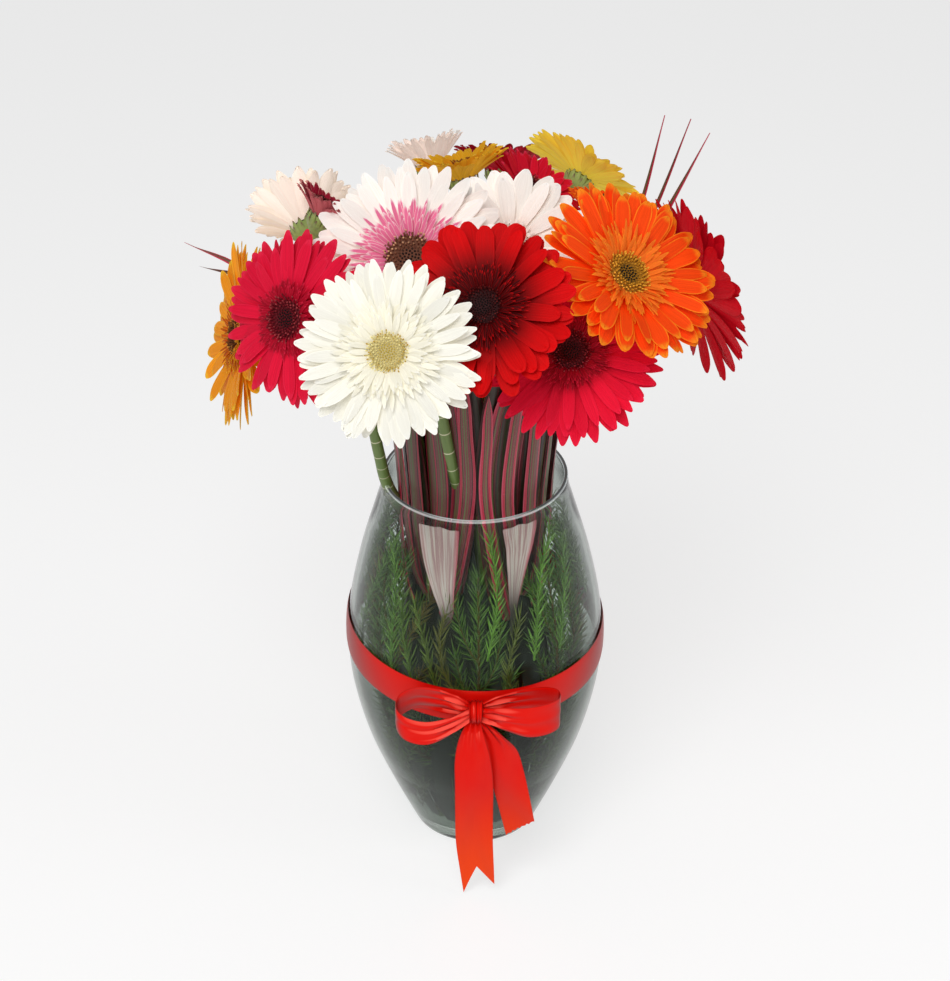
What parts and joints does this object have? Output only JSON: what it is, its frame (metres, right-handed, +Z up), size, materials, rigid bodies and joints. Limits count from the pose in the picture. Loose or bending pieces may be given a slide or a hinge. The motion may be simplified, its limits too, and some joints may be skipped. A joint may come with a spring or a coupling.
{
  "type": "gerberas in a vase",
  "caption": "Bouquet of gerberas with long striped leaves and conifer sprays standing in water in a clear barrel-shaped glass vase that a red satin ribbon is tied round.",
  "frame": {"origin": "centre of the vase's flat underside, on the surface that it stands on", "axes": "+Z up along the vase's axis, -Y towards the side with the bow, +X to the right as seen from that side"},
  "size_m": [0.3588, 0.3184, 0.501],
  "materials": {
    "clear_glass": "clear",
    "water": "clear",
    "red_satin": "satin weave",
    "stems": "matt",
    "striped_leaf": "slightly waxy, striped",
    "conifer": "matt needles",
    "white_front_rays": "velvety petals",
    "white_front_disc": "rough florets",
    "crimson_front_rays": "velvety petals",
    "crimson_front_disc": "rough florets",
    "red_centre_rays": "velvety petals",
    "red_centre_disc": "rough florets",
    "orange_front_rays": "velvety petals",
    "orange_front_disc": "rough florets",
    "red_right_rays": "velvety petals",
    "red_right_disc": "rough florets",
    "white_pink_rays": "velvety petals",
    "white_pink_disc": "rough florets",
    "crimson_left_rays": "velvety petals",
    "crimson_left_disc": "rough florets",
    "gold_left_rays": "velvety petals",
    "gold_left_disc": "rough florets",
    "white_middle_rays": "velvety petals",
    "white_middle_disc": "rough florets",
    "cream_back_left_rays": "velvety petals",
    "cream_back_left_disc": "rough florets",
    "dark_red_left_rays": "velvety petals",
    "dark_red_left_disc": "rough florets",
    "white_back_rays": "velvety petals",
    "white_back_disc": "rough florets",
    "gold_top_rays": "velvety petals",
    "gold_top_disc": "rough florets",
    "dark_red_back_rays": "velvety petals",
    "dark_red_back_disc": "rough florets",
    "crimson_top_rays": "velvety petals",
    "crimson_top_disc": "rough florets",
    "orange_top_rays": "velvety petals",
    "orange_top_disc": "rough florets",
    "yellow_back_rays": "velvety petals",
    "yellow_back_disc": "rough florets",
    "gold_back_left_rays": "velvety petals",
    "gold_back_left_disc": "rough florets",
    "crimson_low_back_rays": "velvety petals",
    "crimson_low_back_disc": "rough florets",
    "orange_low_back_rays": "velvety petals",
    "orange_low_back_disc": "rough florets"
  },
  "bodies": {
    "root": {"vase": "clear_glass", "water": "water", "ribbon_band": "red_satin", "ribbon_bow": "red_satin", "ribbon_tail_left": "red_satin", "ribbon_tail_right": "red_satin", "stems_front_left": "stems", "stems_front_right": "stems", "stems_left": "stems", "stems_right": "stems", "stems_back_left": "stems", "stems_back_right": "stems", "striped_leaves_1": "striped_leaf", "striped_leaves_2": "striped_leaf", "striped_leaves_3": "striped_leaf", "striped_leaves_4": "striped_leaf", "conifer_spray_1": "conifer", "conifer_spray_2": "conifer", "conifer_spray_3": "conifer", "conifer_spray_4": "conifer", "white_front_rays": "white_front_rays", "white_front_disc": "white_front_disc", "crimson_front_rays": "crimson_front_rays", "crimson_front_disc": "crimson_front_disc", "red_centre_rays": "red_centre_rays", "red_centre_disc": "red_centre_disc", "orange_front_rays": "orange_front_rays", "orange_front_disc": "orange_front_disc", "red_right_rays": "red_right_rays", "red_right_disc": "red_right_disc", "white_pink_rays": "white_pink_rays", "white_pink_disc": "white_pink_disc", "crimson_left_rays": "crimson_left_rays", "crimson_left_disc": "crimson_left_disc", "gold_left_rays": "gold_left_rays", "gold_left_disc": "gold_left_disc", "white_middle_rays": "white_middle_rays", "white_middle_disc": "white_middle_disc", "cream_back_left_rays": "cream_back_left_rays", "cream_back_left_disc": "cream_back_left_disc", "dark_red_left_rays": "dark_red_left_rays", "dark_red_left_disc": "dark_red_left_disc", "white_back_rays": "white_back_rays", "white_back_disc": "white_back_disc", "gold_top_rays": "gold_top_rays", "gold_top_disc": "gold_top_disc", "dark_red_back_rays": "dark_red_back_rays", "dark_red_back_disc": "dark_red_back_disc", "crimson_top_rays": "crimson_top_rays", "crimson_top_disc": "crimson_top_disc", "orange_top_rays": "orange_top_rays", "orange_top_disc": "orange_top_disc", "yellow_back_rays": "yellow_back_rays", "yellow_back_disc": "yellow_back_disc", "gold_back_left_rays": "gold_back_left_rays", "gold_back_left_disc": "gold_back_left_disc", "crimson_low_back_rays": "crimson_low_back_rays", "crimson_low_back_disc": "crimson_low_back_disc", "orange_low_back_rays": "orange_low_back_rays", "orange_low_back_disc": "orange_low_back_disc"}
  },
  "joints": []
}
